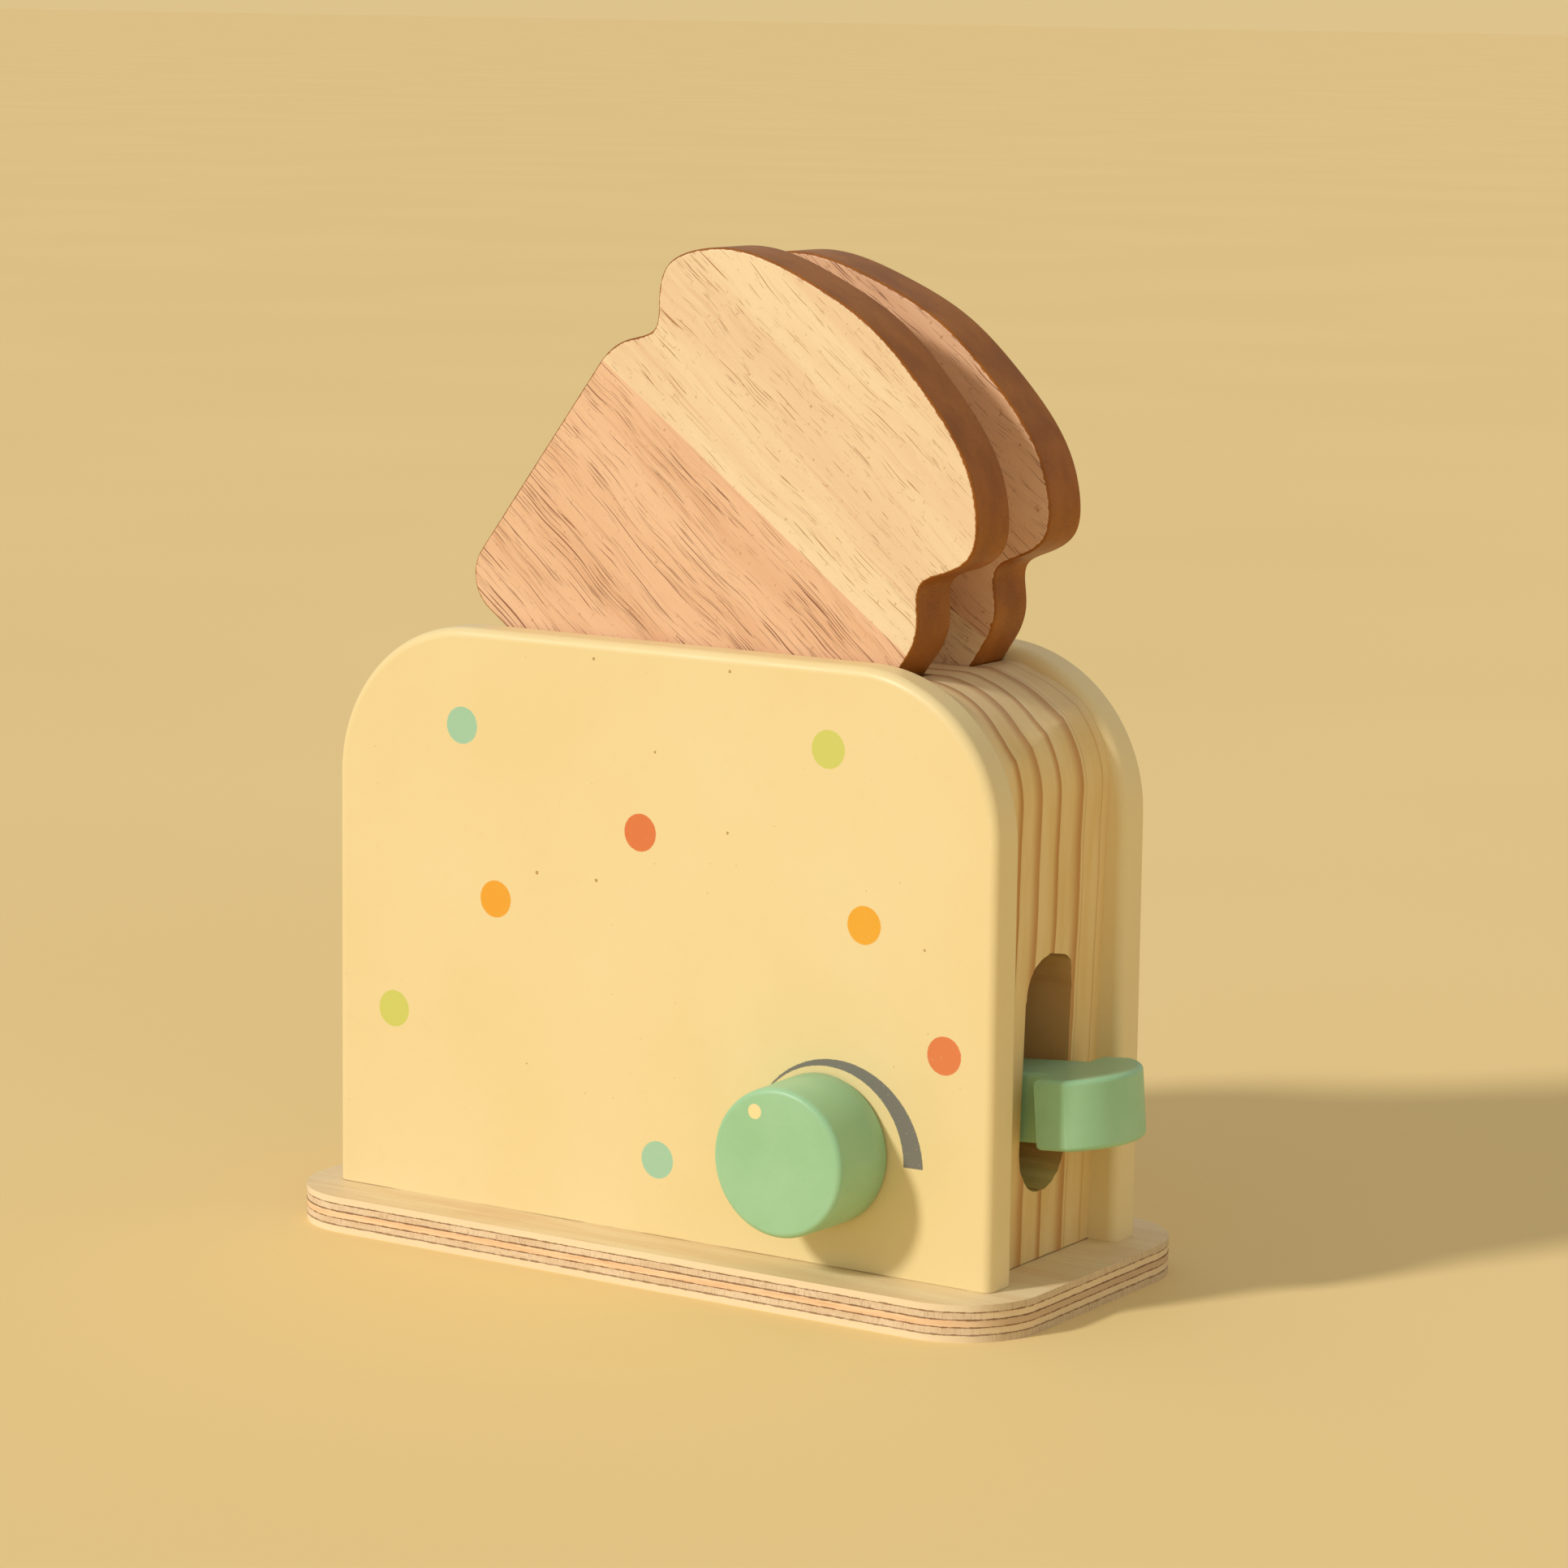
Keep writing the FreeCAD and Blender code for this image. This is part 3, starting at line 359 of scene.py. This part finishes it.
def rubberwood(name, tilt, foot_x, foot_z, shades, pore_code, pore_length, pore_share, seed):
    """Glued rubberwood stave, sanded, its edge brushed with brown stain, IOR 1.5, roughness near 0.5.

    The grain runs across the slice. Pores are 0.26 and 0.38 mm wide, near the upper end of real ones.
    """
    made, tree, place = material(name)
    sine, cosine = math.sin(math.radians(tilt)), math.cos(math.radians(tilt))
    from_foot = add(tree, "VectorMath SUBTRACT", place, (foot_x, 0, foot_z))[0]
    across = add(tree, "VectorMath DOT_PRODUCT", from_foot, (cosine, 0, -sine))["Value"]
    height = add(tree, "VectorMath DOT_PRODUCT", from_foot, (sine, 0, cosine))["Value"]
    height = add(tree, "Math MULTIPLY_ADD", across, GRAIN_RISE, height)[0]
    y = add(tree, "SeparateXYZ", place)[1]
    board = add(tree, "CombineXYZ", across, y, height)[0]
    drift = pattern(tree, board, (42, 40, 26), shift=(seed, 0, seed))
    drift = add(tree, "Math MULTIPLY_ADD", drift, 2 * GRAIN_DRIFT, -GRAIN_DRIFT)[0]
    height = add(tree, "Math ADD", height, drift)[0]
    board = add(tree, "CombineXYZ", across, y, height)[0]
    base_shade, second_shade, dark_shade = shades
    broad = pattern(tree, board, (90, 30, 11), 3.0, 0.55, (seed, seed, 0))
    colour = layer(tree, base_shade, second_shade, broad, 0.32, 0.68)
    streak = pattern(tree, board, (45, 20, 1.6), 3.0, 0.6, (0, seed, seed))
    colour = layer(tree, colour, dark_shade, streak, 0.52, 0.75, 0.0, 0.55)
    fibre = pattern(tree, board, (9, 0.5, 0.28), 2.0, 0.6)
    colour = layer(tree, colour, dark_shade, fibre, 0.5, 0.8, 0.0, 0.3)
    # Pores, fine ones and long ones, crowded in some bands.
    crowd = pattern(tree, board, (40, 30, 7), shift=(seed, 2, 1))
    crowd = add(tree, "Math MULTIPLY_ADD", crowd, 0.16, -0.08)[0]
    limit = add(tree, "Math SUBTRACT", pore_share, crowd)[0]
    pores = 0.0
    for long, thin, shift in ((pore_length, 0.26, seed), (pore_length * 2.2, 0.38, seed + 3.7)):
        line = pattern(tree, board, (long, 2.2, thin), 2.0, 0.45, (shift, shift, shift))
        line = add(tree, "Math SUBTRACT", line, limit)[0]
        line = add(tree, "MapRange", line, 0.0, 0.05, 0.0, 1.0, **SOFT)[0]
        pores = add(tree, "Math MAXIMUM", pores, line)[0]
    colour = stained(tree, colour, pore_code, pores, 0.9)
    # Brown crust on every surface that doesn't face front or back, with a ragged border.
    ragged = pattern(tree, place, 1.6, 3.0, 0.65)
    ragged = add(tree, "Math MULTIPLY_ADD", ragged, 0.30, -0.15)[0]
    level = add(tree, "Math ADD", squareness(tree, 1), ragged)[0]
    crust = add(tree, "MapRange", level, 0.90, 0.97, 1.0, 0.0, **SOFT)[0]
    brown = layer(tree, *CRUST_SHADES, pattern(tree, place, (14, 10, 14), 3.0, 0.55), *WIDE)
    brown = layer(tree, brown, "6E3B10", pattern(tree, board, (3.0, 0.5, 0.3), 2.0, 0.6), 0.58, 0.72, 0.0, 0.5)
    colour = add(tree, "Mix", {0: crust, 6: colour, 7: brown}, **COLOURS)[2]
    gloss = add(tree, "MapRange", crust, 0.0, 1.0, 0.52, 0.42, **SOFT)[0]
    shine = add(tree, "MapRange", crust, 0.0, 1.0, 0.4, 0.25, **SOFT)[0]
    sunk = add(tree, "Math MULTIPLY", pores, -1.0)[0]
    finished(tree, colour, gloss, ((sunk, 0.05), (fibre, 0.02)), specular=shine)
    return made


def beech():
    """Turned beech dowel, sanded, short dark rays along the grain, IOR 1.5, roughness near 0.5."""
    made, tree, place = material("beech_dowel")
    long = pattern(tree, place, (1.2, 14, 1.2), 3.0, 0.6)
    colour = layer(tree, "E3BB8A", "D3A574", long, *WIDE)
    rays = pattern(tree, place, (0.3, 2.0, 0.3), 1.0)
    colour = layer(tree, colour, "9E6F47", rays, 0.66, 0.74, 0.0, 0.6)
    gloss = add(tree, "MapRange", long, *WIDE, 0.45, 0.58, **SOFT)[0]
    finished(tree, colour, gloss, ((rays, 0.03),), specular=0.35)
    return made


def lift_ply():
    """Birch ply plate inside the body, faces bare, IOR 1.5, roughness near 0.6."""
    made, tree, place = material("lift_birch_ply")
    grain = pattern(tree, place, (1.0, 0.5, 26), 3.0, 0.6)
    colour = layer(tree, "EACD9C", "DDB880", grain, 0.35, 0.7)
    # Glue lines every 2 mm through the plate.
    joint = add(tree, "SeparateXYZ", place)[1]
    for operation, other in (("ADD", 5.0), ("DIVIDE", 2.0), ("FRACT", 0.0), ("SUBTRACT", 0.5), ("ABSOLUTE", 0.0)):
        joint = add(tree, "Math " + operation, joint, other)[0]
    joint = add(tree, "MapRange", joint, 0.4, 0.46, 0.0, 1.0, **SOFT)[0]
    rim = add(tree, "MapRange", squareness(tree, 1), *WIDE, 1.0, 0.0, **SOFT)[0]
    colour = stained(tree, colour, "8C6238", joint, rim)
    finished(tree, colour, 0.6, ((grain, 0.03),), specular=0.3)
    return made


# ---------------------------------------------------------------- metal and rubber
def steel():
    """Bright drawn steel with turning lines and a little grease, roughness near 0.3.

    The lines are drawn 0.12 mm apart, coarser than real ones, so that they show.
    """
    made, tree, place = material("bright_steel")
    lines = pattern(tree, place, (0.5, 0.5, 0.12), 2.0, 0.6)
    colour = layer(tree, "C9C6BF", "ABA89F", pattern(tree, place, 5, 3.0, 0.6), *WIDE)
    gloss = add(tree, "MapRange", lines, *WIDE, 0.24, 0.4, **SOFT)[0]
    finished(tree, colour, gloss, ((lines, 0.01),), metallic=1.0)
    return made


def rubber():
    """Moulded black rubber grommet, matt, IOR 1.5, roughness near 0.75."""
    made, tree, place = material("moulded_rubber")
    grain = pattern(tree, place, 0.4, 3.0, 0.6)
    colour = layer(tree, "2B2A28", "454039", pattern(tree, place, 3, 3.0, 0.6), 0.45, 0.8)
    gloss = add(tree, "MapRange", grain, *WIDE, 0.68, 0.82, **SOFT)[0]
    finished(tree, colour, gloss, ((grain, 0.02),))
    return made


# ---------------------------------------------------------------- materials on the CAD nodes
def dress(look, *names):
    """Gives CAD nodes one material."""
    for name in names:
        mesh = nodes[name].data
        mesh.materials.clear()
        mesh.materials.append(look)


dress(birch_face(), "base_face_ply_bottom", "base_face_ply_top")
dress(birch_core("birch_ply_cross_veneer", True), "base_cross_ply_lower", "base_cross_ply_upper")
dress(birch_core("birch_ply_middle_veneer", False), "base_middle_ply")
dress(cream_paint("cream_lacquer_printed", True), "front_panel")
dress(cream_paint("cream_lacquer", False), "rear_panel")
dress(mint_paint("mint_lacquer_lever"), "lever_handle")
for stave, look_name, slice_pose, shades, pore_code, pore_length, pore_share, seed in (
        ("front_toast_lower_stave", "rubberwood_pink_front", FRONT_SLICE, PINK, PINK_PORES, 15.0, 0.635, 1.0),
        ("front_toast_upper_stave", "rubberwood_pale_front", FRONT_SLICE, PALE, PALE_PORES, 9.0, 0.665, 4.0),
        ("rear_toast_lower_stave", "rubberwood_pale_rear", REAR_SLICE, PALE, PALE_PORES, 9.0, 0.665, 7.0),
        ("rear_toast_upper_stave", "rubberwood_pink_rear", REAR_SLICE, PINK, PINK_PORES, 12.0, 0.64, 9.0)):
    dress(rubberwood(look_name, *slice_pose, shades, pore_code, pore_length, pore_share, seed), stave)
dress(beech(), "front_dowels", "rear_dowels", "toast_rest_dowels")
dress(lift_ply(), "lift_plate")
dress(steel(), "guide_rods", "base_screws", "lever_pin", "knob_axle", "knob_washer", "knob_screw")
dress(rubber(), "friction_grommets")


# ---------------------------------------------------------------- rebuilt pieces
def piece(name, mesh, look, body, stands_for):
    """Smooth closed piece that rides on a body and stands for one CAD node."""
    mesh.materials.clear()
    mesh.materials.append(look)
    mesh.shade_smooth()
    made = bpy.data.objects.new(name, mesh)
    scene.collection.objects.link(made)
    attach(made, body)
    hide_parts(stands_for)


# Radius and y along the knob's outline: blind bore, back face and tapering side.
KNOB_OUTLINE = [(0, -45.3), (3.6, -45.3), (4.0, -45.0), (4.0, -35.6), (4.3, -35.3), (17.6, -35.3), (18.05, -35.45),
                (18.3, -36.0), (18.22, -41.0), (18.08, -47.0), (17.92, -53.2)]
KNOB_NOSE = [(12.0, -55.0), (6.0, -55.0), (0, -55.0)]
NOSE_RADIUS, NOSE_ROUND, NOSE_LEVEL, NOSE_STEPS = 17.9, 1.5, -53.5, 8
KNOB_STEPS = 144
KNOB_DOT = (KNOB_X - 6.2, KNOB_Z + 11.7, 1.8, -54.9)  # centre x and z, radius, and y that it lies in front of


def turned_knob():
    """Knob turned about its axle: a blind bore at the back, a faint taper and a tight round at the nose."""
    profile = list(KNOB_OUTLINE)
    for step in range(1, NOSE_STEPS + 1):
        angle = math.pi / 2 * step / NOSE_STEPS
        profile.append((NOSE_RADIUS - NOSE_ROUND + NOSE_ROUND * math.cos(angle),
                        NOSE_LEVEL - NOSE_ROUND * math.sin(angle)))
    profile += KNOB_NOSE
    vertices, faces = [], []
    for radius, y in profile[1:-1]:
        for step in range(KNOB_STEPS):
            angle = 2 * math.pi * step / KNOB_STEPS
            vertices.append((KNOB_X + radius * math.cos(angle), y, KNOB_Z + radius * math.sin(angle)))
    last = len(vertices) - KNOB_STEPS
    vertices += [(KNOB_X, profile[0][1], KNOB_Z), (KNOB_X, profile[-1][1], KNOB_Z)]
    for low in range(0, last, KNOB_STEPS):
        high = low + KNOB_STEPS
        for step in range(KNOB_STEPS):
            after = (step + 1) % KNOB_STEPS
            faces.append((low + step, low + after, high + after, high + step))
    for step in range(KNOB_STEPS):
        after = (step + 1) % KNOB_STEPS
        faces.append((len(vertices) - 2, after, step))
        faces.append((len(vertices) - 1, last + step, last + after))
    mesh = bpy.data.meshes.new("turned_knob")
    mesh.from_pydata([[value * MM for value in point] for point in vertices], [], faces)
    piece("turned_knob", mesh, mint_paint("mint_lacquer_knob", KNOB_DOT), "knob", "dial_knob")


SLOT_HALF, SLOT_TOP, SLOT_FOOT = 10.65, 72.95, 36.55
SLOT_SIDE = 60  # the slot opens in the end beyond this x
SLOT_MARGIN = 0.3
TOP_REAR, TOP_FRONT = 0.55, 0.12  # how square the slot's two top corners are
RAGGED = ((0.012, 1.9, 1.0), (0.010, 4.3, -3.1))  # share of the radius, then radians per mm of z and of y


def sawn_slot(x, y, z):
    """Slot outline as sawn by hand: its top rear corner squarer than the others, its edge a little ragged."""
    middle = min(max(z, SLOT_FOOT), SLOT_TOP)
    up = z - middle
    away = math.hypot(y, up)
    if x < SLOT_SIDE or abs(away - SLOT_HALF) > SLOT_MARGIN:
        return x, y, z
    square = 0 if z < SLOT_FOOT else TOP_REAR if y > 0 else TOP_FRONT
    grow = (max(abs(y), abs(up)) / away) ** -square
    grow *= 1 + sum(share * math.sin(z * up_rate + y * out_rate) for share, up_rate, out_rate in RAGGED)
    return x, y * grow, middle + up * grow


CREASE_LEVEL, CREASE_SLOPE = 135.5, 0.226  # z of the crease at y = 0, and its rise towards the rear
# Height above the crease and the depth sanded away there.
SANDED = ((0.0, 0.0), (1.2, 0.4), (3.5, 0.85), (6.5, 1.0), (10.0, 0.8), (14.0, 0.4), (19.0, 0.0))
SANDED_FROM, SANDED_FULL = 66, 71  # distance from the middle of the block where the sanding starts and is full
ROUND_X, ROUND_Z = 63.9, 121.1  # centre of the block's corner round
EXTRA_CUTS = (-16, -8, 0, 8, 16)  # y of cuts that let the round bend
SAME_POINT = 1e-6  # metres
SHARP_ANGLE = 25


def hand_sanded(x, y, z):
    """Corner round flattened a little by hand above a slanting crease."""
    over = z - CREASE_LEVEL - CREASE_SLOPE * y
    if abs(x) < SANDED_FROM or over <= 0 or over >= SANDED[-1][0]:
        return x, y, z
    for (low, start), (high, end) in zip(SANDED, SANDED[1:]):
        if low <= over <= high:
            depth = start + (end - start) * (over - low) / (high - low)
    depth *= min(1.0, (abs(x) - SANDED_FROM) / (SANDED_FULL - SANDED_FROM))
    inward = Vector((math.copysign(ROUND_X, x) - x, 0, ROUND_Z - z)).normalized() * depth
    return x + inward.x, y, z + inward.z


def sawn_core():
    """Core block with the hand-sawn slot and hand-sanded corners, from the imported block's own merged mesh."""
    mesh = nodes["core_block"].data.copy()
    mesh.name = "sawn_core"
    work = bmesh.new()
    work.from_mesh(mesh)
    bmesh.ops.remove_doubles(work, verts=work.verts, dist=SAME_POINT)
    along_crease = Vector((0, -CREASE_SLOPE, 1)).normalized()
    cuts = [((0, 0, CREASE_LEVEL + over), along_crease) for over, _ in SANDED]
    cuts += [((0, level, 0), (0, 1, 0)) for level in EXTRA_CUTS]
    for point, normal in cuts:
        everything = work.verts[:] + work.edges[:] + work.faces[:]
        bmesh.ops.bisect_plane(work, geom=everything, plane_co=[value * MM for value in point], plane_no=normal)
    for vertex in work.verts:
        moved = hand_sanded(*sawn_slot(*[value / MM for value in vertex.co]))
        vertex.co = [value * MM for value in moved]
    bmesh.ops.recalc_face_normals(work, faces=work.faces)
    work.to_mesh(mesh)
    work.free()
    piece("sawn_core", mesh, pine(), "housing", "core_block")
    mesh.set_sharp_from_angle(angle=math.radians(SHARP_ANGLE))


sawn_core()
turned_knob()


# ---------------------------------------------------------------- floor
FLOOR_HALF = 40.0


def studio_floor():
    """Plain pale painted floor, matt, reaching to the horizon."""
    made, tree, place = material("studio_floor")
    cloud = pattern(tree, place, 400, 1.0)
    colour = layer(tree, "F3D89C", "F1D598", cloud, 0.2, 0.8)
    finished(tree, colour, 0.9, ((cloud, 0.01),), specular=0.1)
    mesh = bpy.data.meshes.new("studio_floor")
    corners = [(side * FLOOR_HALF, deep * FLOOR_HALF, 0) for side, deep in ((-1, -1), (1, -1), (1, 1), (-1, 1))]
    mesh.from_pydata(corners, [], [(0, 1, 2, 3)])
    mesh.materials.append(made)
    floor = bpy.data.objects.new("studio_floor", mesh)
    scene.collection.objects.link(floor)


studio_floor()


# ---------------------------------------------------------------- light
def lamp(name, kind, place, target, energy, code, **settings):
    """Lamp that shines from one point to another."""
    light = bpy.data.lights.new(name, kind)
    light.energy = energy
    light.color = linear(code)[:3]
    for setting, value in settings.items():
        setattr(light, setting, value)
    made = bpy.data.objects.new(name, light)
    made.location = place
    made.rotation_euler = (Vector(place) - Vector(target)).to_track_quat("Z", "Y").to_euler()
    scene.collection.objects.link(made)


lamp("key_lamp", "SUN", place=(-0.5, -1.0, 0.7), target=(0, 0, 0), energy=2.0, code="FFFBF4",
     angle=math.radians(7))
lamp("fill_softbox", "AREA", place=(1.6, -1.2, 1.1), target=(0, 0, 0.1), energy=2.0, code="FFFFFF",
     shape="RECTANGLE", size=1.2, size_y=1.2)

SKY_LIGHT, SKY_SEEN = 0.48, 1.0  # strength of the sky as a light and as the camera sees it
world = bpy.data.worlds.new("studio")
world.use_nodes = True
scene.world = world
sky = world.node_tree
sky.nodes.clear()
seen = add(sky, "LightPath")["Is Camera Ray"]
shade = add(sky, "Mix", {0: seen, 6: "FFF9EC", 7: "DEC48C"}, **COLOURS)[2]
power = add(sky, "Math MULTIPLY_ADD", seen, SKY_SEEN - SKY_LIGHT, SKY_LIGHT)[0]
add(sky, "OutputWorld", add(sky, "Background", {"Color": shade, "Strength": power})[0])


# ---------------------------------------------------------------- camera
CAMERA_PLACE = Vector((0.66476, -0.99748, 0.30791))
YAW, PITCH, ROLL = 0.5778, -0.1591, 0.0127
FOCAL_PIXELS, IMAGE_PIXELS = 6095.62, 1932
SENSOR = 36.0

ahead = Vector((-math.sin(YAW) * math.cos(PITCH), math.cos(YAW) * math.cos(PITCH), math.sin(PITCH)))
level_right = Vector((math.cos(YAW), math.sin(YAW), 0))
level_up = level_right.cross(ahead)
right = level_right * math.cos(ROLL) + level_up * math.sin(ROLL)
upward = level_up * math.cos(ROLL) - level_right * math.sin(ROLL)
lens = bpy.data.cameras.new("camera")
lens.sensor_width = SENSOR
lens.lens = FOCAL_PIXELS / IMAGE_PIXELS * SENSOR
lens.clip_start = 0.02
camera = bpy.data.objects.new("camera", lens)
turned = Matrix((right, upward, -ahead)).transposed().to_4x4()
camera.matrix_world = Matrix.Translation(CAMERA_PLACE) @ turned
scene.collection.objects.link(camera)
scene.camera = camera
